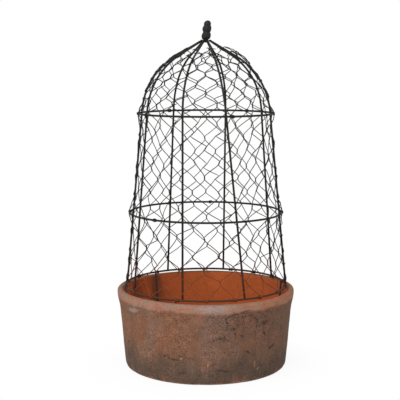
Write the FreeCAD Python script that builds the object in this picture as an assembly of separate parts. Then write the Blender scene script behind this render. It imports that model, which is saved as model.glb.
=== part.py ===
import FreeCAD, Part
import math
import os

from FreeCAD import Vector

# A low round terracotta pot, and the loose wire dome that stands in it on three legs.
# Lengths are millimetres, +Z is up, and the origin is the middle of the pot's flat underside.
# Turns are degrees seen from above, from the front (-Y) towards the right (+X).

# Pot
pot_height = 95.0
lip_radius = 105.8
lip_width = 7.5            # from the widest part of the lip to the mouth
lip_height = 9.0           # upright band of the lip
lip_slope_height = 13.0    # under the band, where the lip runs out into the wall
lip_overhang = 3.0         # how far the lip stands out past the top of the wall
lip_slope_round = 12.0
lip_outer_round = 4.4
lip_inner_round = 2.8
wall_draw_in = 6.5         # how much the wall narrows from the lip to the ground
wall_thickness = 6.0
floor_thickness = 9.0
foot_round = 6.0
floor_round = 3.0
drain_hole_radius = 7.0
small_round_steps = 1
lip_inner_steps = 2
round_steps = 3

# Dome frame
hoop_wire = 2.4
rib_wire = 2.4
leg_wire = 2.4
frame_wire_sides = 6
hoop_steps = 52
shoulder_steps = 8
weld_gap = 0.1
mouth_gap = 2.8            # from the mouth to the centre line of the bottom hoop
hoop_float = 2.5           # the bottom hoop hangs this far above the lip
middle_hoop_rise = 87.3    # hoops and rib tips, above the bottom hoop
upper_hoop_rise = 204.3
tip_rise = 289.4
dome_draw_in = 16.5        # the upper hoop's radius is this much less than the bottom hoop's
shoulder_rise = 46.0       # from the upper hoop to where the side and roof lines of a rib cross
shoulder_reach_share = 0.92
tip_circle_radius = 4.5    # the rib tips stand in a ring under the finial
rib_foot_turns = (-16, 27, 86, 121, 166, 210, 262, 300)
rib_head_turns = (-20, 17, 78, 118, 161, 211, 262, 298)
leg_turns = (99.5, 222.5, 338.5)
leg_floor_margin = 0.5
leg_foot_gap = 0.1

# Finial
finial_base_radius = 4.6
low_lobe_radius = 5.4
low_lobe_height = 8.1
middle_lobe_radius = 5.3
middle_lobe_height = 8.0
top_ball_radius = 4.3
finial_neck_radius = 3.9
finial_pin_length = 4.0
finial_pin_gap = 0.2
finial_sides = 16
lobe_steps = 6

# Wire netting
net_columns = 18
net_side_rows = 12
net_dome_rows = 8
net_wire = 0.9
net_wire_sides = 3
net_gap = 0.2
net_turn = -5.0
net_stop = 18.0            # bare rib between the netting and the rib tips
twist_length = 3.5

# Sizes that follow from the ones above
mouth_radius = lip_radius - lip_width
wall_top_radius = lip_radius - lip_overhang
foot_radius = wall_top_radius - wall_draw_in
floor_radius = foot_radius - wall_thickness
lip_low_height = pot_height - lip_height
wall_top_height = lip_low_height - lip_slope_height

bottom_hoop_radius = mouth_radius - mouth_gap
bottom_hoop_height = pot_height + hoop_float
middle_hoop_height = bottom_hoop_height + middle_hoop_rise
upper_hoop_radius = bottom_hoop_radius - dome_draw_in
upper_hoop_height = bottom_hoop_height + upper_hoop_rise
tip_height = bottom_hoop_height + tip_rise
rib_seat = (hoop_wire + rib_wire) / 2 + weld_gap
leg_seat = (hoop_wire + leg_wire) / 2 + weld_gap
rib_foot_height = bottom_hoop_height + hoop_wire / 2
middle_share = (middle_hoop_height - rib_foot_height) / (upper_hoop_height - rib_foot_height)
middle_hoop_radius = bottom_hoop_radius - (dome_draw_in + rib_seat) * middle_share + rib_seat

strand_turn = 360 / net_columns / 2
strand_gap = net_wire + net_gap
net_clearance = net_wire / 2 + net_gap
over_hoop = hoop_wire / 2 + net_clearance
over_rib = rib_wire / 2 + net_clearance


def polar(radius, turn, height):
    """Point at a radius, a turn from the front and a height."""
    angle = math.radians(turn)
    return Vector(radius * math.sin(angle), -radius * math.cos(angle), height)


def half_angle(before, corner, after):
    """Half of the angle between the two straight runs that meet at a corner."""
    return (before - corner).getAngle(after - corner) / 2


def rounded_points(corners, rounds, steps):
    """Corners with each inner one rounded to its radius, in the given number of straight steps."""
    points = [corners[0]]
    for before, corner, after, radius, count in zip(corners, corners[1:], corners[2:], rounds, steps):
        back = (before - corner).normalize()
        onward = (after - corner).normalize()
        half = half_angle(before, corner, after)
        first = corner + back * (radius / math.tan(half))
        last = corner + onward * (radius / math.tan(half))
        middle = corner + (back + onward).normalize() * (radius / math.sin(half) - radius)
        points.extend(Part.Arc(first, middle, last).toShape().discretize(count + 1))
    points.append(corners[-1])
    return points


def turned(points):
    """Solid of revolution round the upright axis, from the corners of its outline."""
    outline = Part.Face(Part.makePolygon(points + points[:1]))
    return outline.revolve(Vector(0, 0, 0), Vector(0, 0, 1), 360)


def make_pot():
    """Tapering wall, rolled lip and flat floor with a drain hole, as one turned piece."""
    corners = [
        Vector(drain_hole_radius, 0, 0),
        Vector(foot_radius, 0, 0),
        Vector(wall_top_radius, 0, wall_top_height),
        Vector(lip_radius, 0, lip_low_height),
        Vector(lip_radius, 0, pot_height),
        Vector(mouth_radius, 0, pot_height),
        Vector(floor_radius, 0, floor_thickness),
        Vector(drain_hole_radius, 0, floor_thickness),
    ]
    rounds = [foot_round, lip_slope_round, lip_slope_round, lip_outer_round, lip_inner_round, floor_round]
    steps = [round_steps, small_round_steps, small_round_steps, round_steps, lip_inner_steps, small_round_steps]
    return turned(rounded_points(corners, rounds, steps))


def ring_corners(centre, outward, across, radius, sides):
    """Corners of an even polygon round a centre, the first of them pointing outward."""
    corners = []
    for side in range(sides):
        angle = 2 * math.pi * side / sides
        corners.append(centre + (outward * math.cos(angle) + across * math.sin(angle)) * radius)
    return corners


def wire_section(centre, outward, across, wire, sides):
    """Outline of a wire cut through, with a corner pointing outward."""
    corners = ring_corners(centre, outward, across, wire / 2, sides)
    return Part.makePolygon(corners + corners[:1])


def make_wire(bends, wire, sides, closed):
    """Wire through its bends, which are points with their outward directions."""
    sections = []
    for index, (point, outward) in enumerate(bends):
        before = bends[index - 1] if closed else bends[max(index - 1, 0)]
        after = bends[(index + 1) % len(bends)] if closed else bends[min(index + 1, len(bends) - 1)]
        across = (after[0] - before[0]).cross(outward).normalize()
        sections.append(wire_section(point, outward, across, wire, sides))
    return Part.makeLoft(sections, True, True, closed)


def make_hoop(radius, height):
    """Closed ring of wire."""
    bends = []
    for step in range(hoop_steps):
        turn = 360 * step / hoop_steps
        bends.append((polar(radius, turn, height), polar(1, turn, 0)))
    return make_wire(bends, hoop_wire, frame_wire_sides, True)


def rib_corners(foot_turn, head_turn):
    """Foot, upper hoop seat, roof corner and tip of a rib."""
    foot = polar(bottom_hoop_radius, foot_turn, rib_foot_height)
    high = polar(upper_hoop_radius - rib_seat, head_turn, upper_hoop_height)
    corner = high + (high - foot).normalize() * shoulder_rise
    tip = Vector(corner.x, corner.y, 0).normalize() * tip_circle_radius
    tip.z = tip_height
    return foot, high, corner, tip


def shoulder_round(high, corner, tip):
    """Radius of the shoulder arc, which starts just above the upper hoop."""
    reach = shoulder_rise * shoulder_reach_share
    return reach * math.tan(half_angle(high, corner, tip))


def make_rib(foot_turn, head_turn):
    """Wire that stands on the bottom hoop: a straight side, a shoulder arc and a straight roof to the tip."""
    foot, high, corner, tip = rib_corners(foot_turn, head_turn)
    points = rounded_points([foot, corner, tip], [shoulder_round(high, corner, tip)], [shoulder_steps])
    across = (corner - foot).cross(tip - corner).normalize()
    bends = []
    for index, point in enumerate(points):
        along_rib = points[min(index + 1, len(points) - 1)] - points[max(index - 1, 0)]
        bends.append((point, across.cross(along_rib).normalize()))
    return make_wire(bends, rib_wire, frame_wire_sides, False)


def make_leg(turn):
    """Straight wire from inside the bottom hoop, leaning in to a flat foot on the pot's floor."""
    foot_circle = floor_radius - floor_round - leg_wire / 2 - leg_floor_margin
    foot = polar(foot_circle, turn, floor_thickness + leg_foot_gap)
    top = polar(bottom_hoop_radius - leg_seat, turn, bottom_hoop_height + hoop_wire / 2)
    section = wire_section(foot, polar(1, turn, 0), polar(1, turn + 90, 0), leg_wire, frame_wire_sides)
    return Part.Face(section).extrude(top - foot)


def plain_rib():
    """Corners of a rib drawn flat: its radius along X."""
    foot, high, corner, tip = rib_corners(90, 90)
    return high, corner, tip


def lobe_points(low, bulge, top):
    """Arc through three points, in straight steps."""
    return Part.Arc(low, bulge, top).toShape().discretize(lobe_steps + 1)


def finial_ring(point):
    """Level ring of corners of the finial, at a point of its side."""
    centre = Vector(0, 0, point.z)
    return ring_corners(centre, Vector(1, 0, 0), Vector(0, 1, 0), point.x, finial_sides)


def facet(corners):
    """Flat face between its corners."""
    return Part.Face(Part.makePolygon(corners + corners[:1]))


def make_finial():
    """Three stacked lobes on a pin that fills the ring of rib tips."""
    high, corner, tip = plain_rib()
    roof_slope = math.atan2(tip.z - corner.z, corner.x - tip.x)
    base = tip.z + rib_wire / 2 * math.cos(roof_slope) + weld_gap
    low_neck = base + low_lobe_height
    high_neck = low_neck + middle_lobe_height
    ball_centre = high_neck + math.sqrt(top_ball_radius ** 2 - finial_neck_radius ** 2)
    pin_radius = tip_circle_radius - rib_wire / 2 * math.sin(roof_slope) - finial_pin_gap
    pin_end = Vector(pin_radius, 0, base - finial_pin_length)
    pin_top = Vector(pin_radius, 0, base)
    seat = Vector(finial_base_radius, 0, base)
    low_bulge = Vector(low_lobe_radius, 0, base + low_lobe_height / 2)
    low_waist = Vector(finial_neck_radius, 0, low_neck)
    middle_bulge = Vector(middle_lobe_radius, 0, low_neck + middle_lobe_height / 2)
    high_waist = Vector(finial_neck_radius, 0, high_neck)
    ball_side = Vector(top_ball_radius, 0, ball_centre)
    ball_top = Vector(0, 0, ball_centre + top_ball_radius)
    points = [pin_end, pin_top] + lobe_points(seat, low_bulge, low_waist)
    points += lobe_points(low_waist, middle_bulge, high_waist)[1:]
    points += lobe_points(high_waist, ball_side, ball_top)[1:-1]
    rings = [finial_ring(point) for point in points]
    facets = [facet(rings[0])]
    for side in range(finial_sides):
        for low, high in zip(rings, rings[1:]):
            facets.append(facet([low[side - 1], low[side], high[side], high[side - 1]]))
        facets.append(facet([rings[-1][side - 1], rings[-1][side], ball_top]))
    return Part.Solid(Part.Shell(facets))


def along(edges, length):
    """Point and direction at a length along joined edges."""
    for edge in edges:
        if length <= edge.Length:
            break
        length -= edge.Length
    place = edge.getParameterByLength(length)
    return edge.valueAt(place), edge.tangentAt(place)


def net_lines():
    """The rib that the netting follows, drawn flat with radius along X: its straight side and its roof."""
    side_low = Vector(bottom_hoop_radius, 0, bottom_hoop_height)
    high, corner, tip = plain_rib()
    points = rounded_points([high, corner, tip], [shoulder_round(high, corner, tip)], [shoulder_steps])
    return side_low, high, Part.makePolygon(points).Edges


side_low, side_high, roof = net_lines()
side_pitch = (side_high - side_low).Length / net_side_rows
dome_pitch = (sum(edge.Length for edge in roof) - net_stop) / net_dome_rows
side_bow = bottom_hoop_radius * (1 - math.cos(math.radians(strand_turn / 2)))
dome_bow = dome_pitch ** 2 / shoulder_rise / 8
middle_hoop_row = net_side_rows * middle_hoop_rise / upper_hoop_rise


def net_standoff(row, bow):
    """How far the netting stands off the ribs: it lies on them, and passes over the two upper hoops."""
    nearness = max(1 - abs(row - middle_hoop_row), 1 - abs(row - net_side_rows), 0)
    on_ribs = over_rib + bow
    return on_ribs + (rib_seat + over_hoop - on_ribs) * nearness


def net_place(row):
    """Point and outward direction of the netting drawn flat, at a row counted up from the bottom hoop."""
    if row <= net_side_rows:
        direction = (side_high - side_low).normalize()
        point = side_low + direction * (row * side_pitch)
        bow = side_bow
    else:
        point, direction = along(roof, (row - net_side_rows) * dome_pitch)
        bow = dome_bow
    outward = Vector(direction.z, 0, -direction.x)
    return point + outward * net_standoff(row, bow), outward


def swung(flat, turn):
    """A point or direction drawn flat, swung round the upright axis."""
    return polar(flat.x, turn, flat.z)


def strand_at(strand, row, point):
    """Turn of a strand where it is twisted with its neighbour: right on even rows, left on odd."""
    hand = 1 if (strand + row) % 2 == 0 else -1
    twist_middle = net_turn + (strand + hand / 2) * strand_turn
    return twist_middle - hand * math.degrees(strand_gap / 2 / point.x)


def strand_bends(strand, first_row, last_row, pitch):
    """Bends of one strand, with outward directions: from the middle of one twist to that of another."""
    half_twist = twist_length / pitch / 2
    end_gap = net_gap / pitch / 2
    places = [(first_row, first_row + end_gap)]
    for row in range(first_row, last_row):
        places.append((row, row + half_twist))
        places.append((row + 1, row + 1 - half_twist))
    places.append((last_row, last_row - end_gap))
    bends = []
    for row, height_in_rows in places:
        point, outward = net_place(height_in_rows)
        turn = strand_at(strand, row, point)
        bends.append((swung(point, turn), swung(outward, turn)))
    return bends


def hoop_hook(strand):
    """End of a strand, bent under the bottom hoop."""
    turn = strand_at(strand, 0, side_low)
    bends = []
    for angle in (-120, -60):
        outward = Vector(math.cos(math.radians(angle)), 0, math.sin(math.radians(angle)))
        point = side_low + outward * over_hoop
        bends.append((swung(point, turn), swung(outward, turn)))
    return bends


def make_side_netting():
    """Strands round the sides, hooked under the bottom hoop and reaching up to the upper hoop."""
    strands = []
    for strand in range(2 * net_columns):
        bends = hoop_hook(strand) + strand_bends(strand, 0, net_side_rows, side_pitch)
        strands.append(make_wire(bends, net_wire, net_wire_sides, False))
    return Part.makeCompound(strands)


def make_dome_netting():
    """Strands over the dome, from the upper hoop to a ragged edge below the finial."""
    top_row = net_side_rows + net_dome_rows
    strands = []
    for strand in range(2 * net_columns):
        bends = strand_bends(strand, net_side_rows, top_row, dome_pitch)
        strands.append(make_wire(bends, net_wire, net_wire_sides, False))
    return Part.makeCompound(strands)


def save(name, shape):
    """Write one piece under its name."""
    shape.exportStep(os.path.join("parts", name + ".step"))


os.makedirs("parts", exist_ok=True)
save("pot", make_pot())
save("bottom_hoop", make_hoop(bottom_hoop_radius, bottom_hoop_height))
save("middle_hoop", make_hoop(middle_hoop_radius, middle_hoop_height))
save("upper_hoop", make_hoop(upper_hoop_radius, upper_hoop_height))
for number, (foot_turn, head_turn) in enumerate(zip(rib_foot_turns, rib_head_turns), start=1):
    save(f"rib_{number}", make_rib(foot_turn, head_turn))
for number, turn in enumerate(leg_turns, start=1):
    save(f"leg_{number}", make_leg(turn))
save("finial", make_finial())
save("side_netting", make_side_netting())
save("dome_netting", make_dome_netting())
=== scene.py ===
import math
import random

import bmesh
import bpy
from bpy.props import FloatProperty, FloatVectorProperty, IntProperty, PointerProperty
from mathutils import Matrix, Vector, geometry, noise


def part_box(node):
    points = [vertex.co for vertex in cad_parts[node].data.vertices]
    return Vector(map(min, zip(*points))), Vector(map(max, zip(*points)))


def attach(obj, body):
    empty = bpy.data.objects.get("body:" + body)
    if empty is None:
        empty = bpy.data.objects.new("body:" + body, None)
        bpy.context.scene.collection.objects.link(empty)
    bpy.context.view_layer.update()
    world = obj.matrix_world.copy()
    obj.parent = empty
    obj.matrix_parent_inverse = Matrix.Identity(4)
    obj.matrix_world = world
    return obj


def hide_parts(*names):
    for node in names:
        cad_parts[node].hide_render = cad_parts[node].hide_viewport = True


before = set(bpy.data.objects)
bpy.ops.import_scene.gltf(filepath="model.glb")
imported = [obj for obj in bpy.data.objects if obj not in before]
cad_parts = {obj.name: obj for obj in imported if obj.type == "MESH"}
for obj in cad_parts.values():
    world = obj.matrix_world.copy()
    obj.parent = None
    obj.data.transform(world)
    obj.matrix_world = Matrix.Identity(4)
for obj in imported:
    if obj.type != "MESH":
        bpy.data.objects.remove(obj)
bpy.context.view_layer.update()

bl_info = {
    "name": "Pot with Wire Dome",
    "version": (1, 0, 0),
    "blender": (4, 5, 0),
    "location": "View3D > Sidebar > Wire Dome",
    "description": "Dresses a terracotta pot and the loose wire dome that stands in it",
    "category": "Object",
}

UP = Vector((0, 0, 1))
HOOPS = ("bottom_hoop", "middle_hoop", "upper_hoop")

# Turns in degrees, from the front towards the right. A tie is a short wire round a hoop.
RIGHT_TURN = 90
RIB_FOOT_TURNS = (-16, 27, 86, 121, 166, 210, 262, 300)
RIB_HEAD_TURNS = (-20, 17, 78, 118, 161, 211, 262, 298)
LEG_TURNS = (99.5, 222.5, 338.5)
TIE_TURNS = {
    "upper_hoop": (-88, 22, 89, 140, 214),
    "middle_hoop": (-91, -40, 52, 88, 176),
}

# How finely the meshes are divided, and how near two points are one.
POT_STEPS = 192
WALL_CUTS = 40
TALL_EDGE = 0.02
BEVEL_SEGMENTS = 5
HOOP_STEPS = 128
FINIAL_STEPS = 24
LOBE_STEPS = 8
BEND_POINTS = 14
FRAME_SIDES = 10
NETTING_SIDES = 6
SPAN_STEPS = 6
TWIST_STEPS = 6
MERGE_DISTANCE = 1e-6
RING_TOLERANCE = 1e-5

# Dents in the pot from broad to fine: waves in a metre, and share of the unevenness.
DENTS = ((22, 0.6), (75, 0.3), (260, 0.12))
DENT_START = 0.4
WEAR_WAVES = 60
WEAR_SHIFT = Vector((3, 1, 7))
LIP_WAVES = 14
LIP_DROP = 0.3
LIP_TOP = 0.004

# The clean inside starts a little below the top of the lip and comes in over a short way.
INSIDE_START = 0.001
INSIDE_FADE = 0.002

# The finial in shares of its height and radius: the pin's radius and top, each lobe's bottom,
# top and bulge, the neck between the lobes, and the ball's middle, half height and radius.
FINIAL_PIN = (0.6, 0.148)
FINIAL_LOBES = ((0.153, 0.462, 1.02), (0.462, 0.767, 1.0))
FINIAL_NECK = 0.72
FINIAL_BALL = (0.836, 0.164, 0.8)
LOBE_FULLNESS = 0.6
BALL_TURN = 115
CASTING_WAVES = 300
CASTING_ROUGHNESS = 0.0004
LEAN_START = 0.15
LEAN_SINK = 0.02

# How the netting's cells stray: slow and fine waves round the dome and up it, the rows over which
# the bottom hoop holds them, the share left at the upper hoop, and the gain with each dome row.
WAVES_ROUND = 2.6
WAVES_UP = 0.5
FINE_WAVES = 2.7
SLOW_PULL = 1.2
FINE_PULL = 0.9
LEAN_WAVES = 1.9
HELD_ROWS = 1.5
HELD_SHARE = 0.4
DOME_GAIN = 0.16
LEAST_RADIUS = 0.03

# How the strands lie, in shares of their wire, in rows, and in degrees of turn.
NETTING_SEAT = 0.6
TWIST_REACH = 0.45
HOOK_ROW = 0.06
SPAN_BOW = 0.5
SPRING_TURN = 80
SPRING_SPREAD = 40
SPRING_ROWS = 2.5
END_REACH = (3, 11)
END_RISE = (-0.1, 0.3)
END_DROOP = 0.25

# Hooks and ties wound round a hoop: points in a turn and in all, wires from turn to turn, and ends.
COIL_STEPS = 8
HOOK_STEPS = 12
TIE_STEPS = 24
COIL_PITCH = 1.1
TAIL_DROP = (-0.003, -0.001)
TAIL_OUT = 0.001
TIE_END_OUT = 0.0003
TIE_END_RISE = 0.0012

# Ranges in metres over which a finish comes in, from none of it to all of it.
RUBBED_LIP = (0.0835, 0.0875)
SMOOTH_LIP = (0.083, 0.087)
ORANGE_SIDE = (0.02, 0.08)
# Painted shade: the wall darkens towards the right.
RIGHT_WALL_SHADE = (-0.004, 0.034)
DARK_BAND_BOTTOM = (-0.004, 0.006)
DARK_BAND_TOP = (0.040, 0.018)
RUBBED_FOOT = (0.004, 0.0015)
# Painted shade: the inside darkens towards the right.
RIGHT_INSIDE_SHADE = (0.02, 0.075)
# Painted shadow: the inside darkens towards the left.
LEFT_INSIDE_SHADOW = (-0.02, -0.06)
# Partly rust, partly painted light: brown on the wires low down and at the front, standing in for
# their lit tops.
RUST_AND_SHEEN_HEIGHT = (0.146, 0.116)
RUST_AND_SHEEN_FRONT = (0.0, -0.06)

# How warm patches of the wall and deep patches of the inside differ from the plain clay; the deeper
# tone is also painted shade on the right of the inside.
WARMER = (1.10, 1.0, 0.95)
DEEPER_AND_SHADED = 0.82

# Marks on the pot's wall, which is unrolled at one radius: turn, height, half length, half width
# and tilt, with lengths in metres.
WALL_RADIUS = 0.1
SCARS = (
    (6.8, 0.055, 0.0072, 0.0011, 26), (17.3, 0.083, 0.0066, 0.0012, 12),
    (24.6, 0.0855, 0.0066, 0.0011, 15), (13.5, 0.074, 0.003, 0.0013, -20),
    (15.2, 0.0705, 0.0032, 0.0012, 10), (17.8, 0.066, 0.003, 0.0013, -35),
    (24, 0.079, 0.0034, 0.0013, -10), (29, 0.0805, 0.003, 0.0011, 25),
    (35, 0.0825, 0.0028, 0.0012, 0), (48.8, 0.038, 0.0066, 0.0013, 19),
    (28.5, 0.0375, 0.0045, 0.0013, -23), (-64.6, 0.037, 0.003, 0.0018, 60),
    (-22, 0.0305, 0.009, 0.0012, -12), (-27.5, 0.033, 0.0035, 0.0012, 8),
    (-16, 0.0145, 0.0065, 0.0013, 14), (12, 0.0175, 0.01, 0.0016, -8),
    (19, 0.0605, 0.0026, 0.0012, 20), (23.5, 0.057, 0.0036, 0.0011, -25),
    (41, 0.056, 0.005, 0.0012, -50), (142, 0.061, 0.006, 0.0012, -24),
    (150, 0.07, 0.0045, 0.0012, 16), (205, 0.044, 0.0075, 0.0012, 18),
    (-118, 0.069, 0.005, 0.0012, 10), (-105, 0.03, 0.006, 0.0013, -15),
)
CHIPS = (
    (0.9, 0.0247, 0.0024, 0.0015, 10), (34.4, 0.0222, 0.0046, 0.001, 98),
    (-17.2, 0.0319, 0.0024, 0.001, 15), (120, 0.018, 0.0026, 0.0013, 75),
    (-130, 0.027, 0.0028, 0.0015, 10), (188, 0.02, 0.0022, 0.0013, 40),
)
CRACKED = (
    (17, 0.076, 0.023, 0.011, 8), (36, 0.073, 0.016, 0.009, -10), (16, 0.06, 0.014, 0.008, 30),
    (105, 0.062, 0.022, 0.01, 12), (-150, 0.052, 0.026, 0.012, -8), (178, 0.07, 0.018, 0.009, 15),
)
CHALK = (
    (5, 0.0905, 0.019, 0.0046, 0), (-54, 0.0797, 0.013, 0.003, 8), (37.1, 0.016, 0.0018, 0.0014, 0),
    (-25, 0.091, 0.006, 0.0022, 0), (75, 0.089, 0.008, 0.0026, 0), (130, 0.0905, 0.012, 0.003, 0),
    (215, 0.0905, 0.015, 0.0034, 0), (-95, 0.09, 0.01, 0.003, 0), (165, 0.05, 0.012, 0.004, 30),
)

# Stage: each lamp's name, place, width and watts, what the lamps face, and the rings of floor in
# which the white fades to leave a shadow near the pot.
LAMPS = (
    ("key_lamp", (-1.0, -1.6, 1.6), 1.5, 42.0),
    ("fill_lamp", (1.5, -1.5, 0.9), 1.8, 8.0),
)
LAMP_TARGET = Vector((0, 0, 0.18))
SENSOR_WIDTH = 36
FLOOR_SIZE = 6
WORLD_LIGHT = 0.4
NEAR_WHITE = 0.93
SHADOW_RING = (0.105, 0.16)
UNDER_POT = (0.075, 0.09)


def size_prop(name, description, default):
    """A length that the panel shows."""
    return FloatProperty(
        name=name, description=description, default=default, unit="LENGTH", precision=4)


def angle_prop(name, description, degrees):
    """An angle that the panel shows."""
    return FloatProperty(
        name=name, description=description, default=math.radians(degrees), subtype="ANGLE")


def share_prop(name, description, default, least):
    """A share of up to 1 that the panel shows."""
    return FloatProperty(
        name=name, description=description, default=default, min=least, max=1, subtype="FACTOR")


def count_prop(name, description, default, least):
    """A whole number that the panel shows."""
    return IntProperty(name=name, description=description, default=default, min=least)


def colour_prop(name, description, default):
    """A colour that the panel shows."""
    return FloatVectorProperty(
        name=name, description=description, default=default, subtype="COLOR", size=3, min=0, max=1)


class PotSettings(bpy.types.PropertyGroup):
    """Sizes and colours of the terracotta pot."""

    height: size_prop("Height", "From the ground to the top of the lip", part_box("pot")[1].z)
    lip_radius: size_prop("Lip Radius", "Radius at the widest part of the lip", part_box("pot")[1].x)
    lip_width: size_prop("Lip Width", "From the widest part of the lip to the mouth", 0.0075)
    lip_band: size_prop("Lip Band", "Height of the upright band of the lip", 0.009)
    lip_slope: size_prop("Lip Slope", "Height of the slope under the lip", 0.013)
    lip_overhang: size_prop("Lip Overhang", "How far the lip stands out past the wall", 0.003)
    draw_in: size_prop("Draw In", "How much the wall narrows from lip to ground", 0.0065)
    wall: size_prop("Wall", "Thickness of the wall", 0.006)
    floor: size_prop("Floor", "Thickness of the floor", 0.009)
    drain_radius: size_prop("Drain Hole Radius", "Radius of the hole in the floor", 0.007)
    lip_round: size_prop("Lip Round", "Rounding of the top of the lip", 0.0034)
    band_round: size_prop("Band Round", "Rounding under the upright band of the lip", 0.003)
    slope_round: size_prop("Slope Round", "Rounding where the slope meets the wall", 0.0065)
    foot_round: size_prop("Foot Round", "Rounding of the foot", 0.0058)
    floor_round: size_prop("Floor Round", "Rounding where the inside meets the floor", 0.0035)
    drain_round: size_prop("Drain Round", "Rounding of the drain hole underneath", 0.0012)
    drain_top_round: size_prop("Drain Top Round", "Rounding of the drain hole inside", 0.0015)
    unevenness: size_prop("Unevenness", "Depth of the dents left by making the pot", 0.0006)
    foot_wear: size_prop("Foot Wear", "Depth of the wear along the foot", 0.0016)
    foot_wear_height: size_prop("Foot Wear Height", "How far up the foot is worn", 0.012)
    lip_waver: size_prop("Lip Waver", "How far the top of the lip goes up and down", 0.0006)
    back_drop: share_prop("Back Drop", "Share of the way to the back that the lip sinks", 0.014, 0)
    wall_colour: colour_prop("Wall", "Weathered brown of the wall", (0.180, 0.088, 0.051))
    flush_colour: colour_prop("Flush", "Redder flecks in the wall", (0.235, 0.098, 0.056))
    bloom_colour: colour_prop("Bloom", "Grey mauve bloom on the wall", (0.185, 0.117, 0.089))
    # Grime on the wall and foot; also painted shade on the right of the wall and a painted shadow on
    # the left of the inside.
    grime_and_shade_colour: colour_prop("Grime", "Dark patches and the dark foot", (0.075, 0.052, 0.038))
    lip_colour: colour_prop("Lip", "Rubbed pink of the lip", (0.300, 0.176, 0.127))
    streak_colour: colour_prop("Lip Streaks", "Red streaks along the lip", (0.40, 0.125, 0.072))
    chalk_colour: colour_prop("Chalk", "Grey chalk on the lip and wall", (0.29, 0.225, 0.20))
    inside_colour: colour_prop("Inside", "Clean clay inside the pot", (0.53, 0.125, 0.033))
    chip_colour: colour_prop("Chips", "Fresh clay where the skin is chipped", (0.40, 0.17, 0.075))
    scar_colour: colour_prop("Scars", "Dirt in scars, cracks and pits", (0.042, 0.025, 0.017))


class DomeSettings(bpy.types.PropertyGroup):
    """Sizes and colours of the dome's hoops, ribs, legs and finial."""

    wire: size_prop("Frame Wire", "Thickness of the hoops, ribs and legs", 0.0024)
    weld_gap: size_prop("Weld Gap", "Room between wires that are welded", 0.0001)
    leg_margin: size_prop("Leg Margin", "From the edge of the pot's floor to a leg's foot", 0.0047)
    shoulder_rise: size_prop("Shoulder Rise", "From the upper hoop to a rib's corner", 0.046)
    shoulder_share: share_prop("Shoulder Share", "Share of the shoulder that is bent", 0.92, 0.1)
    tip_circle: size_prop("Tip Circle", "Radius of the ring of rib tips", 0.0045)
    finial_lean: angle_prop("Finial Lean", "How far the finial leans to the right", 6)
    wire_colour: colour_prop("Wire", "Blackened steel", (0.011, 0.0105, 0.010))
    worn_colour: colour_prop("Worn", "Brown where the black has worn", (0.026, 0.017, 0.012))
    # Partly rust, partly painted light standing in for the lit tops of the wire in the pot.
    rust_and_sheen_colour: colour_prop("Rust", "Rust on the wire that stands in the pot", (0.070, 0.026, 0.014))


class NettingSettings(bpy.types.PropertyGroup):
    """Sizes and colours of the hexagonal wire netting."""

    wire: size_prop("Netting Wire", "Thickness of the netting's strands", 0.00098)
    columns: count_prop("Columns", "Cells round the dome", 18, 6)
    side_rows: count_prop("Side Rows", "Rows of twists up to the upper hoop", 12, 2)
    dome_rows: count_prop("Dome Rows", "Rows of twists over the dome", 8, 1)
    twist: size_prop("Twist", "Length of a twist", 0.0048)
    start_turn: angle_prop("Start Turn", "Turn of the first strand", -5)
    bare_rib: size_prop("Bare Rib", "Bare rib between the netting and the finial", 0.025)
    stray: size_prop("Stray", "How far the twists are pulled out of line", 0.0028)
    spring: size_prop("Spring", "How far the loose top stands off the ribs on the right", 0.004)
    pull_share: share_prop("Pull", "How far the netting is drawn flat between two ribs", 0.9, 0)
    seed: count_prop("Seed", "Number that sets how the cells stray", 5, 1)
    wire_colour: colour_prop("Wire", "Dull dark wire", (0.013, 0.0125, 0.012))
    # Partly rust, partly painted light standing in for the lit tops of the strands in the pot.
    rust_and_sheen_colour: colour_prop("Rust", "Rust on the strands that hang in the pot", (0.190, 0.043, 0.010))


class StageSettings(bpy.types.PropertyGroup):
    """Camera and backdrop."""

    lens: FloatProperty(
        name="Lens", description="Focal length in millimetres", default=97.8, unit="CAMERA")
    distance: size_prop("Distance", "From the camera to the pot's axis", 1.281)
    eye_height: size_prop("Eye Height", "Height of the camera", 0.3665)
    sideways: size_prop("Sideways", "How far the camera stands to the left", 0.0068)
    pitch: angle_prop("Pitch", "How far the camera looks down", 7.455)
    backdrop_colour: colour_prop("Backdrop", "Floor and background", (1.0, 1.0, 1.0))


def polar(radius, turn, height):
    """Point at a radius, a turn in degrees from the front towards the right, and a height."""
    angle = math.radians(turn)
    return Vector((radius * math.sin(angle), -radius * math.cos(angle), height))


def shortest(turn):
    """A turn in degrees, brought to within half a round either way."""
    return (turn + 180) % 360 - 180


def node(tree, kind, sockets=None, **settings):
    """Adds a shader node; a socket gets a value, or a link where another socket is given."""
    made = tree.nodes.new(kind)
    for name, value in settings.items():
        setattr(made, name, value)
    for name, value in (sockets or {}).items():
        if isinstance(value, bpy.types.NodeSocket):
            tree.links.new(value, made.inputs[name])
        else:
            made.inputs[name].default_value = value
    return made


def maths(tree, operation, first, second):
    """Result of one operation on two values."""
    return node(tree, "ShaderNodeMath", {0: first, 1: second}, operation=operation).outputs[0]


def times(tree, first, second):
    """Product of two values."""
    return maths(tree, "MULTIPLY", first, second)


def most(tree, first, second):
    """The larger of two values."""
    return maths(tree, "MAXIMUM", first, second)


def sum_of(tree, first, first_share, second, second_share):
    """Sum of a share of each of two values."""
    return maths(tree, "ADD", times(tree, first, first_share), times(tree, second, second_share))


def offset(tree, value, cloud, reach):
    """A value pushed either way by a cloud, by up to half the reach."""
    return maths(tree, "ADD", value, times(tree, maths(tree, "SUBTRACT", cloud, 0.5), reach))


def grade(tree, value, low, high):
    """Smooth step of a value, 0 at low and 1 at high."""
    sockets = {"Value": value, "From Min": low, "From Max": high}
    step = node(tree, "ShaderNodeMapRange", sockets, interpolation_type="SMOOTHSTEP")
    return step.outputs["Result"]


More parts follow.
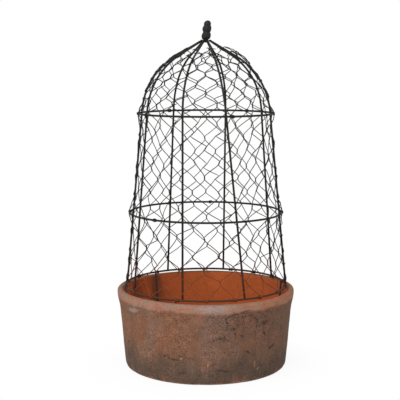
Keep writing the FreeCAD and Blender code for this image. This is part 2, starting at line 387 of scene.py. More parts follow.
def ramp(tree, value, low, high, start=0.0, end=1.0):
    """Straight ramp of a value, low at start and high at end."""
    sockets = {"Value": value, "From Min": start, "From Max": end, "To Min": low, "To Max": high}
    return node(tree, "ShaderNodeMapRange", sockets).outputs["Result"]


def mix(tree, share, first, second, blend="MIX"):
    """Mixed colour; the two are linked sockets or plain colours."""
    colours = [
        value if isinstance(value, bpy.types.NodeSocket) else (*value, 1.0)
        for value in (first, second)
    ]
    sockets = {0: share, 6: colours[0], 7: colours[1]}
    return node(tree, "ShaderNodeMix", sockets, data_type="RGBA", blend_type=blend).outputs[2]


def tint(tree, colour, mask, share, tone):
    """A colour drawn towards a tone by a share of a mask."""
    return mix(tree, times(tree, mask, share), colour, tone)


def clouds(tree, place, scale, detail, distortion=0.0):
    """Cloudy noise on a place."""
    sockets = {"Vector": place, "Scale": scale, "Detail": detail, "Distortion": distortion}
    return node(tree, "ShaderNodeTexNoise", sockets).outputs["Fac"]


def drawn_out(tree, place, share):
    """A place whose height counts for a share, so that what follows it runs up and down."""
    return node(tree, "ShaderNodeMapping", {"Vector": place, "Scale": (1.0, 1.0, share)}).outputs[0]


def distance_of(tree, place):
    """Distance of a place from the middle."""
    return node(tree, "ShaderNodeVectorMath", {0: place}, operation="LENGTH").outputs["Value"]


def new_material(name):
    """Empty node material with its tree and shader."""
    material = bpy.data.materials.new(name)
    material.use_nodes = True
    return material, material.node_tree, material.node_tree.nodes["Principled BSDF"]


def roughen(tree, shader, relief, strength, depth, roughness, specular):
    """Gives a shader its bump, its roughness and its shine."""
    bump = node(tree, "ShaderNodeBump", {"Strength": strength, "Distance": depth, "Height": relief})
    tree.links.new(bump.outputs[0], shader.inputs["Normal"])
    tree.links.new(roughness, shader.inputs["Roughness"])
    shader.inputs["Specular IOR Level"].default_value = specular


def marks(tree, unrolled, listed):
    """Mask of marks on the unrolled wall, each soft at its edge."""
    mask = 0.0
    for turn, height, length, width, tilt in listed:
        sockets = {
            "Vector": unrolled,
            "Location": (math.radians(turn) * WALL_RADIUS, height, 0),
            "Rotation": (0, 0, math.radians(tilt)),
            "Scale": (length, width, 1),
        }
        local = node(tree, "ShaderNodeMapping", sockets, vector_type="TEXTURE").outputs[0]
        mask = most(tree, mask, grade(tree, distance_of(tree, local), 1.2, 0.5))
    return mask


def specks(tree, place, scale, size, share):
    """Mask of round specks in a share of the cells of a grid."""
    cells = node(tree, "ShaderNodeTexVoronoi", {"Vector": place, "Scale": scale}).outputs
    chosen = node(tree, "ShaderNodeSeparateColor", {0: cells["Color"]}).outputs[0]
    near = grade(tree, cells["Distance"], size, size * 0.5)
    return times(tree, near, maths(tree, "LESS_THAN", chosen, share))


def wall_tone(tree, pot, place, axes, bloom, broad):
    """Colour of the wall: bloom on brown, painted shade darker to the right, a dark band above a
    rubbed foot.
    """
    warm = [value * share for value, share in zip(pot.wall_colour, WARMER)]
    colour = mix(tree, grade(tree, broad, 0.38, 0.6), pot.wall_colour, warm)
    colour = tint(tree, colour, grade(tree, bloom, 0.46, 0.66), 0.5, pot.bloom_colour)
    flecks = clouds(tree, place, scale=95.0, detail=6.0, distortion=0.4)
    colour = tint(tree, colour, grade(tree, flecks, 0.52, 0.66), 0.36, pot.flush_colour)
    colour = tint(tree, colour, grade(tree, flecks, 0.48, 0.34), 0.35, pot.grime_and_shade_colour)
    # Painted shade: the grime colour darkens the wall towards the right, away from the key lamp.
    sideways = offset(tree, axes["X"], bloom, reach=0.07)
    colour = tint(tree, colour, grade(tree, sideways, *RIGHT_WALL_SHADE), 0.34, pot.grime_and_shade_colour)
    streaks = clouds(tree, drawn_out(tree, place, 0.14), scale=110.0, detail=5.0)
    height = offset(tree, offset(tree, axes["Z"], bloom, reach=0.05), streaks, reach=0.04)
    band = times(tree, grade(tree, height, *DARK_BAND_BOTTOM), grade(tree, height, *DARK_BAND_TOP))
    colour = tint(tree, colour, band, 0.76, pot.grime_and_shade_colour)
    edge = grade(tree, offset(tree, axes["Z"], streaks, reach=0.006), *RUBBED_FOOT)
    return tint(tree, colour, edge, 0.6, pot.lip_colour)


def lip_tone(tree, pot, axes, arc, bloom, colour):
    """Rubbed lip over the wall's colour, streaked with red and more orange to the right."""
    right = grade(tree, offset(tree, axes["X"], bloom, reach=0.08), *ORANGE_SIDE)
    rubbed = tint(tree, pot.lip_colour, right, 0.5, pot.chip_colour)
    lengthwise = node(
        tree, "ShaderNodeCombineXYZ", {0: times(tree, arc, 0.12), 1: axes["Z"]}).outputs[0]
    streaks = grade(tree, clouds(tree, lengthwise, scale=420.0, detail=4.0), 0.5, 0.6)
    rubbed = tint(tree, rubbed, streaks, 0.9, pot.streak_colour)
    share = grade(tree, offset(tree, axes["Z"], bloom, reach=0.009), *RUBBED_LIP)
    return tint(tree, colour, share, 0.88, rubbed)


def inside_tone(tree, pot, axes, bloom, broad, pits):
    """Clean clay inside the pot, with painted shade to the right and a painted shadow to the left."""
    deep_and_shaded = [value * DEEPER_AND_SHADED for value in pot.inside_colour]
    colour = mix(tree, grade(tree, broad, 0.38, 0.62), pot.inside_colour, deep_and_shaded)
    # Painted shade: the deeper tone darkens the inside towards the right.
    colour = mix(tree, grade(tree, axes["X"], *RIGHT_INSIDE_SHADE), colour, deep_and_shaded)
    # Painted shadow on the left of the inside, drawn in the grime colour.
    painted_shadow = times(tree, grade(tree, bloom, 0.42, 0.6), grade(tree, axes["X"], *LEFT_INSIDE_SHADOW))
    colour = tint(tree, colour, painted_shadow, 0.5, pot.grime_and_shade_colour)
    return tint(tree, colour, pits, 0.25, pot.scar_colour)


def terracotta(pot):
    """Weathered clay: brown bloom outside, rubbed lip, dark foot, chips, cracks, a clean inside and
    painted shade.
    """
    material, tree, shader = new_material("weathered_terracotta")
    place = node(tree, "ShaderNodeTexCoord").outputs["Object"]
    axes = node(tree, "ShaderNodeSeparateXYZ", {0: place}).outputs
    inside = node(tree, "ShaderNodeAttribute", attribute_name="inside").outputs["Fac"]
    streaked = drawn_out(tree, place, 0.35)
    broad = clouds(tree, place, scale=15.0, detail=5.0)
    bloom = clouds(tree, streaked, scale=36.0, detail=9.0, distortion=0.5)
    mottle = clouds(tree, place, scale=150.0, detail=6.0)
    grain = clouds(tree, place, scale=620.0, detail=4.0)
    ragged = clouds(tree, place, scale=330.0, detail=3.0)

    turn = maths(tree, "ARCTAN2", axes["X"], times(tree, axes["Y"], -1.0))
    arc = times(tree, turn, WALL_RADIUS)
    strayed = {
        0: offset(tree, arc, mottle, reach=0.008),
        1: offset(tree, axes["Z"], ragged, reach=0.006),
    }
    unrolled = node(tree, "ShaderNodeCombineXYZ", strayed).outputs[0]
    colour = wall_tone(tree, pot, place, axes, bloom, broad)
    colour = lip_tone(tree, pot, axes, arc, bloom, colour)
    chalk = times(tree, marks(tree, unrolled, CHALK), grade(tree, bloom, 0.3, 0.5))
    pale = times(tree, specks(tree, unrolled, scale=190.0, size=0.22, share=0.16), 0.35)
    pale = most(tree, pale, times(tree, chalk, 0.75))
    colour = mix(tree, pale, colour, pot.chalk_colour)

    cells = node(
        tree, "ShaderNodeTexVoronoi", {"Vector": unrolled, "Scale": 105.0}, feature="DISTANCE_TO_EDGE")
    patch = clouds(tree, place, scale=60.0, detail=3.0)
    patch = times(tree, grade(tree, patch, 0.56, 0.66), 0.4)
    patch = most(tree, patch, marks(tree, unrolled, CRACKED))
    crack = times(tree, grade(tree, cells.outputs["Distance"], 0.11, 0.03), patch)
    crack = times(tree, crack, grade(tree, ragged, 0.42, 0.54))
    pits = specks(tree, unrolled, scale=240.0, size=0.26, share=0.3)
    pits = times(tree, pits, grade(tree, bloom, 0.36, 0.56))
    scars = times(tree, marks(tree, unrolled, SCARS), grade(tree, ragged, 0.3, 0.46))
    dark = most(tree, times(tree, crack, 0.75), times(tree, pits, 0.5))
    dark = most(tree, dark, times(tree, scars, 0.85))
    colour = mix(tree, dark, colour, pot.scar_colour)
    chips = times(tree, marks(tree, unrolled, CHIPS), grade(tree, ragged, 0.3, 0.5))
    colour = tint(tree, colour, chips, 0.8, pot.chip_colour)
    colour = mix(tree, inside, colour, inside_tone(tree, pot, axes, bloom, broad, pits))

    shade = ramp(tree, sum_of(tree, grain, 0.7, mottle, 0.3), 0.44, 1.56, start=0.32, end=0.68)
    lip = grade(tree, axes["Z"], *SMOOTH_LIP)
    worn = grade(tree, clouds(tree, place, scale=48.0, detail=4.0), 0.56, 0.42)
    plain = times(tree, most(tree, most(tree, inside, lip), worn), 0.6)
    grey = node(tree, "ShaderNodeCombineColor", {0: shade, 1: shade, 2: shade}).outputs[0]
    colour = mix(tree, maths(tree, "SUBTRACT", 1.0, plain), colour, grey, "MULTIPLY")
    tree.links.new(colour, shader.inputs["Base Color"])

    relief = sum_of(tree, grain, 0.4, mottle, 0.6)
    relief = maths(tree, "SUBTRACT", relief, times(tree, pits, 0.5))
    rough = ramp(tree, mottle, 0.8, 0.98)
    roughen(tree, shader, relief, strength=0.6, depth=0.0008, roughness=rough, specular=0.2)
    return material


def dark_wire(name, colour, worn_colour, rust_and_sheen_colour):
    """Blackened steel with worn patches; low down and most at the front, a brown that is partly rust
    and partly painted light.
    """
    material, tree, shader = new_material(name)
    place = node(tree, "ShaderNodeTexCoord").outputs["Object"]
    axes = node(tree, "ShaderNodeSeparateXYZ", {0: place}).outputs
    worn = clouds(tree, place, scale=140.0, detail=6.0)
    grain = clouds(tree, place, scale=1500.0, detail=3.0)
    tone = mix(tree, grade(tree, worn, 0.5, 0.68), colour, worn_colour)
    # Partly rust, partly painted light: brown on the wires low down, most at the front.
    low = grade(tree, offset(tree, axes["Z"], worn, reach=0.01), *RUST_AND_SHEEN_HEIGHT)
    front = grade(tree, axes["Y"], *RUST_AND_SHEEN_FRONT)
    rust_and_sheen = times(tree, low, most(tree, times(tree, front, 0.95), 0.2))
    tone = mix(tree, rust_and_sheen, tone, rust_and_sheen_colour)
    tree.links.new(tone, shader.inputs["Base Color"])
    rough = ramp(tree, worn, 0.55, 0.8)
    roughen(tree, shader, grain, strength=0.3, depth=0.0002, roughness=rough, specular=0.22)
    return material


def add_piece(name, mesh, material, body, nodes):
    """Puts a finished mesh in the scene, riding on its body in place of its solids."""
    piece = bpy.data.objects.new(name, mesh)
    bpy.context.scene.collection.objects.link(piece)
    mesh.materials.clear()
    mesh.materials.append(material)
    mesh.polygons.foreach_set("use_smooth", [True] * len(mesh.polygons))
    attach(piece, body)
    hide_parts(*nodes)
    return piece


def draw_outline(shape, points, closed):
    """Draws an outline of radii and heights, ready to be spun."""
    verts = [shape.verts.new((radius, 0, height)) for radius, height in points]
    following = verts[1:] + verts[:1] if closed else verts[1:]
    for first, second in zip(verts, following):
        shape.edges.new((first, second))


def close_up(shape):
    """Merges points that meet and turns the faces outwards."""
    bmesh.ops.remove_doubles(shape, verts=shape.verts, dist=MERGE_DISTANCE)
    bmesh.ops.recalc_face_normals(shape, faces=shape.faces)


def spin_round(shape, steps):
    """Spins an outline once round the upright axis."""
    bmesh.ops.spin(
        shape, geom=shape.verts[:] + shape.edges[:], cent=(0, 0, 0), axis=UP, angle=math.tau,
        steps=steps, use_merge=True, use_normal_flip=False, use_duplicate=False)
    close_up(shape)


def finished_mesh(shape, name):
    """Mesh with a finished shape, which is then let go."""
    mesh = bpy.data.meshes.new(name)
    shape.to_mesh(mesh)
    shape.free()
    return mesh


def wire_mesh(name, lines, thickness, sides):
    """Round wires along lines of points, as one closed mesh."""
    curve = bpy.data.curves.new(name, "CURVE")
    curve.dimensions = "3D"
    curve.bevel_depth = thickness / 2
    curve.bevel_resolution = sides // 2 - 2
    curve.use_fill_caps = True
    for line in lines:
        spline = curve.splines.new("POLY")
        spline.points.add(len(line) - 1)
        for point, place in zip(spline.points, line):
            point.co = (*place, 1)
    holder = bpy.data.objects.new(name, curve)
    bpy.context.scene.collection.objects.link(holder)
    evaluated = holder.evaluated_get(bpy.context.evaluated_depsgraph_get())
    mesh = bpy.data.meshes.new_from_object(evaluated)
    bpy.data.objects.remove(holder)
    bpy.data.curves.remove(curve)
    mesh.name = name
    shape = bmesh.new()
    shape.from_mesh(mesh)
    close_up(shape)
    shape.to_mesh(mesh)
    shape.free()
    return mesh


def inner_foot(pot):
    """Radius of the pot's inside at the floor."""
    return pot.lip_radius - pot.lip_overhang - pot.draw_in - pot.wall


def hoop_place(node_name):
    """Radius and height of a hoop's centre line."""
    low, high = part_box(node_name)
    wire = bpy.context.scene.wire_dome_frame.wire
    return high.x - wire / 2, (low.z + high.z) / 2


def rib_line(foot_turn, head_turn):
    """Points along a rib: its straight side, the shoulder bend and the roof up to the tip."""
    dome = bpy.context.scene.wire_dome_frame
    low_radius, low_height = hoop_place("bottom_hoop")
    high_radius, high_height = hoop_place("upper_hoop")
    foot = polar(low_radius, foot_turn, low_height + dome.wire / 2)
    high = polar(high_radius - dome.wire - dome.weld_gap, head_turn, high_height)
    side = (high - foot).normalized()
    corner = high + side * dome.shoulder_rise
    tip = Vector((corner.x, corner.y, 0)).normalized() * dome.tip_circle
    tip.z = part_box("rib_1")[1].z - dome.wire / 2
    roof = (tip - corner).normalized()
    reach = dome.shoulder_rise * dome.shoulder_share
    turn = side.angle(roof)
    handle = reach / math.tan(turn / 2) * 4 / 3 * math.tan(turn / 4)
    start, end = corner - side * reach, corner + roof * reach
    bend = geometry.interpolate_bezier(
        start, start + side * handle, end - roof * handle, end, BEND_POINTS)
    return [foot, *bend, tip]


def length_of(line):
    """Length along a line of points."""
    return sum((after - before).length for before, after in zip(line, line[1:]))


def along(line, length):
    """Point and direction at a length along a line of points."""
    for before, after in zip(line, line[1:]):
        run = (after - before).length
        if length <= run:
            break
        length -= run
    direction = (after - before).normalized()
    return before + direction * length, direction


class WIREDOME_OT_pot(bpy.types.Operator):
    """Turns the pot, rounds its edges and dents it."""

    bl_idname = "wire_dome.pot"
    bl_label = "Pot"

    def execute(self, context):
        pot = context.scene.wire_dome_pot
        mouth = pot.lip_radius - pot.lip_width
        wall_top = pot.lip_radius - pot.lip_overhang
        band_low = pot.height - pot.lip_band
        corners = [
            (pot.drain_radius, 0, pot.drain_round),
            (wall_top - pot.draw_in, 0, pot.foot_round),
            (wall_top, band_low - pot.lip_slope, pot.slope_round),
            (pot.lip_radius, band_low, pot.band_round),
            (pot.lip_radius, pot.height, pot.lip_round),
            (mouth, pot.height, pot.lip_round),
            (inner_foot(pot), pot.floor, pot.floor_round),
            (pot.drain_radius, pot.floor, pot.drain_top_round),
        ]
        shape = bmesh.new()
        draw_outline(shape, [corner[:2] for corner in corners], closed=True)
        spin_round(shape, POT_STEPS)
        for radius, height, rounding in corners:
            ring = [edge for edge in shape.edges if self.on_ring(edge, radius, height)]
            bmesh.ops.bevel(
                shape, geom=ring, offset=rounding, offset_type="OFFSET", affect="EDGES",
                segments=BEVEL_SEGMENTS, profile=0.5, material=-1)
        tall = [edge for edge in shape.edges if self.rise(edge) > TALL_EDGE]
        bmesh.ops.subdivide_edges(shape, edges=tall, cuts=WALL_CUTS, use_grid_fill=True)
        self.dent(shape, pot)
        inside = self.inside_shares(shape, pot, mouth)
        mesh = finished_mesh(shape, "pot_shell")
        mesh.attributes.new("inside", "FLOAT", "POINT").data.foreach_set("value", inside)
        add_piece("pot_shell", mesh, terracotta(pot), "pot", ["pot"])
        return {"FINISHED"}

    def on_ring(self, edge, radius, height):
        """Whether an edge lies on the ring at a radius and height."""
        return all(
            abs(vert.co.xy.length - radius) < RING_TOLERANCE
            and abs(vert.co.z - height) < RING_TOLERANCE
            for vert in edge.verts)

    def rise(self, edge):
        """How far an edge climbs."""
        return abs(edge.verts[0].co.z - edge.verts[1].co.z)

    def dent(self, shape, pot):
        """Pushes the walls in a little, wears the foot and wavers the top of the lip."""
        for vert in shape.verts:
            place = vert.co.copy()
            radius = place.xy.length
            if radius < pot.drain_radius * 2:
                continue
            swell = sum(noise.noise(place * waves) * share for waves, share in DENTS)
            outward = Vector((place.x, place.y, 0)) / radius
            near_foot = max(0.0, 1 - place.z / pot.foot_wear_height)
            wear = max(0.0, noise.noise(place * WEAR_WAVES + WEAR_SHIFT)) * near_foot
            depth = pot.unevenness * max(0.0, DENT_START - swell) + wear * pot.foot_wear
            vert.co -= outward * depth
            if place.z > pot.height - LIP_TOP:
                waver = (LIP_DROP + noise.noise(place * LIP_WAVES)) * pot.lip_waver
                vert.co.z -= waver + max(0.0, place.y) * pot.back_drop

    def inside_shares(self, shape, pot, mouth):
        """1 on the inner wall and floor, 0 outside, for each vertex."""
        floor_radius = inner_foot(pot)
        shares = []
        for vert in shape.verts:
            rise = (vert.co.z - pot.floor) / (pot.height - pot.floor)
            inner = floor_radius + (mouth - floor_radius) * max(rise, 0) + pot.lip_round
            within = vert.co.xy.length < inner and vert.co.z > pot.floor * 0.5
            fade = min(1.0, max(0.0, (pot.height - INSIDE_START - vert.co.z) / INSIDE_FADE))
            shares.append(fade if within else 0.0)
        return shares


class WIREDOME_OT_frame(bpy.types.Operator):
    """Bends the hoops, ribs and legs of the dome from round wire."""

    bl_idname = "wire_dome.frame"
    bl_label = "Hoops, Ribs and Legs"

    def execute(self, context):
        dome = context.scene.wire_dome_frame
        material = dark_wire("blackened_wire", dome.wire_colour, dome.worn_colour, dome.rust_and_sheen_colour)
        meshes = {name: self.hoop(name, dome) for name in HOOPS}
        for number, turns in enumerate(zip(RIB_FOOT_TURNS, RIB_HEAD_TURNS), start=1):
            name = f"rib_{number}"
            meshes[name] = wire_mesh(name + "_wire", [rib_line(*turns)], dome.wire, FRAME_SIDES)
        for number, turn in enumerate(LEG_TURNS, start=1):
            name = f"leg_{number}"
            line = self.leg_line(name, turn, dome)
            meshes[name] = wire_mesh(name + "_wire", [line], dome.wire, FRAME_SIDES)
        for name, mesh in meshes.items():
            add_piece(name + "_wire", mesh, material, "dome", [name])
        return {"FINISHED"}

    def hoop(self, name, dome):
        """Ring of round wire."""
        radius, height = hoop_place(name)
        shape = bmesh.new()
        bmesh.ops.create_circle(shape, segments=FRAME_SIDES, radius=dome.wire / 2)
        upright = Matrix.Rotation(math.pi / 2, 3, "X")
        bmesh.ops.rotate(shape, verts=shape.verts, cent=(0, 0, 0), matrix=upright)
        bmesh.ops.translate(shape, verts=shape.verts, vec=(radius, 0, height))
        spin_round(shape, HOOP_STEPS)
        return finished_mesh(shape, name + "_wire")

    def leg_line(self, name, turn, dome):
        """Straight wire from inside the bottom hoop down to the pot's floor."""
        low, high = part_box(name)
        hoop_radius = hoop_place("bottom_hoop")[0]
        foot_radius = inner_foot(bpy.context.scene.wire_dome_pot) - dome.leg_margin
        head_radius = hoop_radius - dome.wire - dome.weld_gap
        return [polar(foot_radius, turn, low.z), polar(head_radius, turn, high.z)]


class WIREDOME_OT_finial(bpy.types.Operator):
    """Turns the finial's three lobes and leans it a little."""

    bl_idname = "wire_dome.finial"
    bl_label = "Finial"

    def execute(self, context):
        dome = context.scene.wire_dome_frame
        low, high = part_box("finial")
        height = high.z - low.z
        outline = [(share * high.x, low.z + rise * height) for rise, share in self.outline_shares()]
        shape = bmesh.new()
        draw_outline(shape, outline, closed=False)
        spin_round(shape, FINIAL_STEPS)
        for vert in shape.verts:
            vert.co += vert.normal * noise.noise(vert.co * CASTING_WAVES) * CASTING_ROUGHNESS
            rise = max(0.0, vert.co.z - low.z - height * LEAN_START)
            vert.co.x += rise * math.tan(dome.finial_lean)
            vert.co.z -= rise * LEAN_SINK
        mesh = finished_mesh(shape, "finial_casting")
        material = dark_wire(
            "blackened_casting", dome.wire_colour, dome.worn_colour, dome.rust_and_sheen_colour)
        piece = add_piece("finial_casting", mesh, material, "dome", ["finial"])
        smooth = piece.modifiers.new("Smooth Casting", "SUBSURF")
        smooth.levels = 1
        smooth.render_levels = 1
        return {"FINISHED"}

    def outline_shares(self):
        """Rise and radius up the finial's side, as shares: a pin, two fat lobes and a ball."""
        pin_radius, pin_top = FINIAL_PIN
        shares = [(0.0, 0.0), (0.0, pin_radius), (pin_top, pin_radius)]
        for bottom, top, bulge in FINIAL_LOBES:
            for step in range(LOBE_STEPS + 1):
                rise = bottom + (top - bottom) * step / LOBE_STEPS
                swell = math.sin(math.pi * step / LOBE_STEPS) ** LOBE_FULLNESS
                shares.append((rise, FINIAL_NECK + (bulge - FINIAL_NECK) * swell))
        middle, half_height, radius = FINIAL_BALL
        for step in range(1, LOBE_STEPS + 1):
            angle = math.radians(BALL_TURN - BALL_TURN * step / LOBE_STEPS)
            shares.append((middle + half_height * math.cos(angle), radius * math.sin(angle)))
        return shares


class WIREDOME_OT_netting(bpy.types.Operator):
    """Twists the strands of the netting together and hooks them round the bottom hoop."""

    bl_idname = "wire_dome.netting"
    bl_label = "Netting"

    def execute(self, context):
        self.net = net = context.scene.wire_dome_netting
        self.dome = dome = context.scene.wire_dome_frame
        self.chance = random.Random(net.seed)
        noise.seed_set(net.seed)
        self.set_out()
        lines = [self.strand(strand) for strand in range(2 * net.columns)]
        for hoop, turns in TIE_TURNS.items():
            lines += [self.tie(hoop, turn) for turn in turns]
        mesh = wire_mesh("netting_wire", lines, net.wire, NETTING_SIDES)
        material = dark_wire("netting_wire", net.wire_colour, dome.worn_colour, net.rust_and_sheen_colour)
        add_piece("netting_wire", mesh, material, "dome", ["side_netting", "dome_netting"])
        return {"FINISHED"}

    def set_out(self):
        """Draws the rib that the netting follows flat, radius along X, and finds the rows."""
        net, dome = self.net, self.dome
        self.rows = net.side_rows + net.dome_rows
        low_radius, low_height = hoop_place("bottom_hoop")
        middle_height = hoop_place("middle_hoop")[1]
        high_radius, high_height = hoop_place("upper_hoop")
        seat = dome.wire + dome.weld_gap
        high = Vector((high_radius - seat, 0, high_height))
        self.side = [Vector((low_radius, 0, low_height)), high]
        self.roof = [high, *rib_line(RIGHT_TURN, RIGHT_TURN)[1:]]
        self.side_pitch = length_of(self.side) / net.side_rows
        self.dome_pitch = (length_of(self.roof) - net.bare_rib) / net.dome_rows
        self.middle_row = net.side_rows * (middle_height - low_height) / (high_height - low_height)
        self.on_ribs = dome.wire / 2 + net.wire * NETTING_SEAT
        self.over_hoops = seat + self.on_ribs

    def drawn_flat(self, turn, row):
        """Share of the radius that a straight line between the two nearest ribs cuts off."""
        climb = min(row / self.net.side_rows, 1)
        ends = zip(RIB_FOOT_TURNS, RIB_HEAD_TURNS)
        turns = [foot + (head - foot) * climb for foot, head in ends]
        ahead = min((rib - turn) % 360 for rib in turns)
        behind = min((turn - rib) % 360 for rib in turns)
        half = math.radians(ahead + behind) / 2
        return 1 - math.cos(half) / math.cos(math.radians(ahead) - half)

    def surface(self, turn, row):
        """Point of the netting at a turn and a row, with its up and outward directions."""
        rows = self.net.side_rows
        if row <= rows:
            flat, lean = along(self.side, row * self.side_pitch)
        else:
            flat, lean = along(self.roof, (row - rows) * self.dome_pitch)
        nearness = max(1 - abs(row - self.middle_row), 1 - abs(row - rows), 0)
        standoff = self.on_ribs + (self.over_hoops - self.on_ribs) * nearness + self.spring(turn, row)
        pull = self.net.pull_share * (1 - nearness) * min(row, 1)
        flat = flat + Vector((lean.z, 0, -lean.x)) * standoff
        radius = flat.x * (1 - pull * self.drawn_flat(turn, row))
        up = polar(-abs(lean.x), turn, lean.z)
        outward = polar(lean.z, turn, abs(lean.x))
        return polar(radius, turn, flat.z), up, outward

    def spring(self, turn, row):
        """How far the loose top of the netting springs off the ribs on the right."""
        aside = shortest(turn - SPRING_TURN)
        near_top = max(0.0, 1 - abs(row - self.rows + 1) / SPRING_ROWS)
        return self.net.spring * math.exp(-(aside / SPRING_SPREAD) ** 2) * near_top

    def strand_turn(self, count):
        """Turn in degrees of a place that is counted in strands."""
        return math.degrees(self.net.start_turn) + count * 180 / self.net.columns

    def twist_ends(self, pair, row):
        """Turn and row of the low and high end of a twist, pulled out of line and leaning."""
        net = self.net
        turn = self.strand_turn(pair + 0.5)
        seed = polar(WAVES_ROUND, turn, row * WAVES_UP)
        slow = noise.noise_vector(seed) * SLOW_PULL
        pull = (slow + noise.noise_vector(seed * FINE_WAVES) * FINE_PULL) * net.stray
        loose = min(1.0, row / HELD_ROWS) * (HELD_SHARE if row == net.side_rows else 1.0)
        pull.x *= 1 + max(0, row - net.side_rows) * DOME_GAIN
        radius = max(self.surface(turn, row)[0].xy.length, LEAST_RADIUS)
        pitch = self.side_pitch if row <= net.side_rows else self.dome_pitch
        lean = math.degrees(noise.noise(seed * LEAN_WAVES + UP) * net.twist / radius) * loose
        middle = turn + math.degrees(loose * pull.x / radius)
        centre = row + loose * pull.y / pitch
        half = net.twist / 2 / pitch
        return (middle - lean, centre - half), (middle + lean, centre + half)

    def strand(self, strand):
        """Points along one strand, from its hook on the bottom hoop to its loose end."""
        hand = 1 if strand % 2 == 0 else -1
        turn = self.strand_turn(strand + hand / 2)
        line = self.hook(turn, hand)
        place = (turn, HOOK_ROW)
        short = strand // 2 % 2
        for row in range(1, self.rows + 1 - short):
            hand = -hand
            pair = (strand if hand == 1 else strand - 1) % (2 * self.net.columns)
            low, high = self.twist_ends(pair, row)
            round_trip = place[0] + shortest(low[0] - place[0]) - low[0]
            low = (low[0] + round_trip, low[1])
            high = (high[0] + round_trip, high[1])
            line += self.span(place, low)
            line += self.twist(low, high, hand)
            place = high
        return line + self.loose_end(place, hand)

    def span(self, start, end):
        """Points between two twists, nearly straight."""
        points = []
        bow = self.chance.uniform(-SPAN_BOW, SPAN_BOW)
        for step in range(1, SPAN_STEPS):
            share = step / SPAN_STEPS
            turn = start[0] + (end[0] - start[0]) * share + bow * math.sin(math.pi * share)
            points.append(self.surface(turn, start[1] + (end[1] - start[1]) * share)[0])
        return points

    def twist(self, low, high, hand):
        """One full turn of a strand round its neighbour."""
        reach = self.net.wire * TWIST_REACH
        points = []
        for step in range(TWIST_STEPS + 1):
            share = step / TWIST_STEPS
            turn = low[0] + (high[0] - low[0]) * share
            centre, up, outward = self.surface(turn, low[1] + (high[1] - low[1]) * share)
            across = up.cross(outward).normalized()
            angle = math.tau * share + (math.pi if hand == 1 else 0)
            points.append(centre + (across * math.cos(angle) + outward * math.sin(angle)) * reach)
        return points

    def wound(self, hoop, turn, angle):
        """Point on the skin of a hoop: its turn, and the angle round its wire from outside upward."""
        radius, height = hoop_place(hoop)
        reach = self.dome.wire / 2 + self.net.wire / 2
        outward = polar(1, turn, 0)
        return polar(radius, turn, height) + (outward * math.cos(angle) + UP * math.sin(angle)) * reach

    def coil_turn(self, hoop):
        """Turn in degrees by which a wire wound round a hoop moves on in one round."""
        return math.degrees(self.net.wire * COIL_PITCH / hoop_place(hoop)[0])

    def hook(self, turn, hand):
        """A turn and a half round the bottom hoop, with a short end below it."""
        step_turn = hand * self.coil_turn("bottom_hoop")
        points = []
        for to_go in range(HOOK_STEPS, -1, -1):
            place = turn - step_turn * (0.5 + to_go / COIL_STEPS)
            points.append(self.wound("bottom_hoop", place, -math.tau / COIL_STEPS * to_go))
        tail = points[0] + UP * self.chance.uniform(*TAIL_DROP) + polar(TAIL_OUT, turn, 0)
        return [tail] + points

    def tie(self, hoop, turn):
        """Short wire wound three times round a hoop, with two bent ends."""
        step_turn = self.coil_turn(hoop)
        coil = []
        for step in range(TIE_STEPS + 1):
            place = turn + step_turn * (step - TIE_STEPS / 2) / COIL_STEPS
            coil.append(self.wound(hoop, place, math.tau / COIL_STEPS * step))
        first = coil[0] + polar(TIE_END_OUT, turn, -TIE_END_RISE)
        last = coil[-1] + polar(TIE_END_OUT, turn, TIE_END_RISE)
        return [first] + coil + [last]

    def loose_end(self, place, hand):
        """Cut end of a strand above its last twist, bent aside."""
        reach = self.chance.uniform(*END_REACH)
        rise = self.chance.uniform(*END_RISE)
        points = []
        for share in (0.25, 0.5, 0.75, 1.0):
            row = place[1] + rise * share - END_DROOP * share ** 2
            points.append(self.surface(place[0] - hand * reach * share, row)[0])
        return points


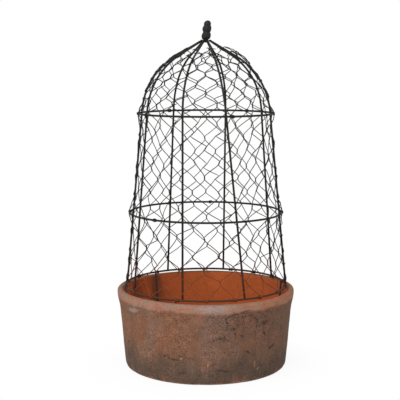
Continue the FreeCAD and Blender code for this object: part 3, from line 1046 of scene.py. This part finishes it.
class WIREDOME_OT_stage(bpy.types.Operator):
    """Sets up the backdrop, the lamps and the camera."""

    bl_idname = "wire_dome.stage"
    bl_label = "Stage"

    def execute(self, context):
        stage = context.scene.wire_dome_stage
        self.floor(stage)
        self.world(context.scene, stage)
        for lamp in LAMPS:
            self.lamp(*lamp)
        camera = bpy.data.cameras.new("photo_camera")
        camera.lens = stage.lens
        camera.sensor_width = SENSOR_WIDTH
        holder = bpy.data.objects.new("photo_camera", camera)
        holder.location = (-stage.sideways, -stage.distance, stage.eye_height)
        holder.rotation_euler = (math.pi / 2 - stage.pitch, 0, 0)
        context.scene.collection.objects.link(holder)
        context.scene.camera = holder
        context.scene.view_settings.view_transform = "Standard"
        return {"FINISHED"}

    def seen_ray(self, tree):
        """1 for rays that show the backdrop itself, straight, mirrored or through glass."""
        rays = node(tree, "ShaderNodeLightPath").outputs
        seen = most(tree, rays["Is Camera Ray"], rays["Is Glossy Ray"])
        return most(tree, seen, rays["Is Transmission Ray"])

    def floor(self, stage):
        """Pale floor that keeps a faint shadow."""
        shape = bmesh.new()
        bmesh.ops.create_grid(shape, x_segments=1, y_segments=1, size=FLOOR_SIZE)
        mesh = finished_mesh(shape, "floor")
        floor = bpy.data.objects.new("floor", mesh)
        bpy.context.scene.collection.objects.link(floor)
        material, tree, shader = new_material("pale_floor")
        white = (*stage.backdrop_colour, 1)
        shader.inputs["Base Color"].default_value = white
        shader.inputs["Roughness"].default_value = 1
        shader.inputs["Specular IOR Level"].default_value = 0
        glow = node(tree, "ShaderNodeEmission", {"Color": white, "Strength": 1.0})
        place = node(tree, "ShaderNodeTexCoord").outputs["Object"]
        away = distance_of(tree, place)
        plain = ramp(tree, away, NEAR_WHITE, 1.0, *SHADOW_RING)
        plain = times(tree, plain, grade(tree, away, *UNDER_POT))
        share = times(tree, self.seen_ray(tree), plain)
        blend = node(tree, "ShaderNodeMixShader", {0: share, 1: shader.outputs[0], 2: glow.outputs[0]})
        tree.links.new(blend.outputs[0], tree.nodes["Material Output"].inputs["Surface"])
        mesh.materials.append(material)

    def world(self, scene, stage):
        """White all round to look at, and a softer light from it on the object."""
        world = bpy.data.worlds.new("studio")
        world.use_nodes = True
        tree = world.node_tree
        background = tree.nodes["Background"]
        background.inputs["Color"].default_value = (*stage.backdrop_colour, 1)
        strength = ramp(tree, self.seen_ray(tree), WORLD_LIGHT, 1.0)
        tree.links.new(strength, background.inputs["Strength"])
        scene.world = world

    def lamp(self, name, place, width, watts):
        """Soft square lamp that faces the dome."""
        light = bpy.data.lights.new(name, "AREA")
        light.size = width
        light.energy = watts
        holder = bpy.data.objects.new(name, light)
        holder.location = place
        aim = LAMP_TARGET - Vector(place)
        holder.rotation_euler = aim.to_track_quat("-Z", "Y").to_euler()
        bpy.context.scene.collection.objects.link(holder)


class WIREDOME_PT_panel(bpy.types.Panel):
    """Lists the pieces of the pot and dome."""

    bl_label = "Wire Dome"
    bl_idname = "WIREDOME_PT_panel"
    bl_space_type = "VIEW_3D"
    bl_region_type = "UI"
    bl_category = "Wire Dome"

    def draw(self, context):
        for group in SETTINGS:
            settings = getattr(context.scene, group)
            box = self.layout.box()
            for name in settings.__annotations__:
                box.prop(settings, name)
        for operator in OPERATORS:
            self.layout.operator(operator.bl_idname)


SETTINGS = {
    "wire_dome_pot": PotSettings,
    "wire_dome_frame": DomeSettings,
    "wire_dome_netting": NettingSettings,
    "wire_dome_stage": StageSettings,
}
OPERATORS = (
    WIREDOME_OT_pot, WIREDOME_OT_frame, WIREDOME_OT_finial, WIREDOME_OT_netting, WIREDOME_OT_stage)


def register():
    """Adds the settings, the operators and the panel."""
    for name, settings in SETTINGS.items():
        bpy.utils.register_class(settings)
        setattr(bpy.types.Scene, name, PointerProperty(type=settings))
    for operator in OPERATORS:
        bpy.utils.register_class(operator)
    bpy.utils.register_class(WIREDOME_PT_panel)


def unregister():
    """Takes the panel, the operators and the settings away."""
    bpy.utils.unregister_class(WIREDOME_PT_panel)
    for operator in reversed(OPERATORS):
        bpy.utils.unregister_class(operator)
    for name, settings in SETTINGS.items():
        delattr(bpy.types.Scene, name)
        bpy.utils.unregister_class(settings)


def main():
    """Builds every piece and the stage."""
    register()
    bpy.ops.wire_dome.pot()
    bpy.ops.wire_dome.frame()
    bpy.ops.wire_dome.finial()
    bpy.ops.wire_dome.netting()
    bpy.ops.wire_dome.stage()


if __name__ == "__main__":
    main()
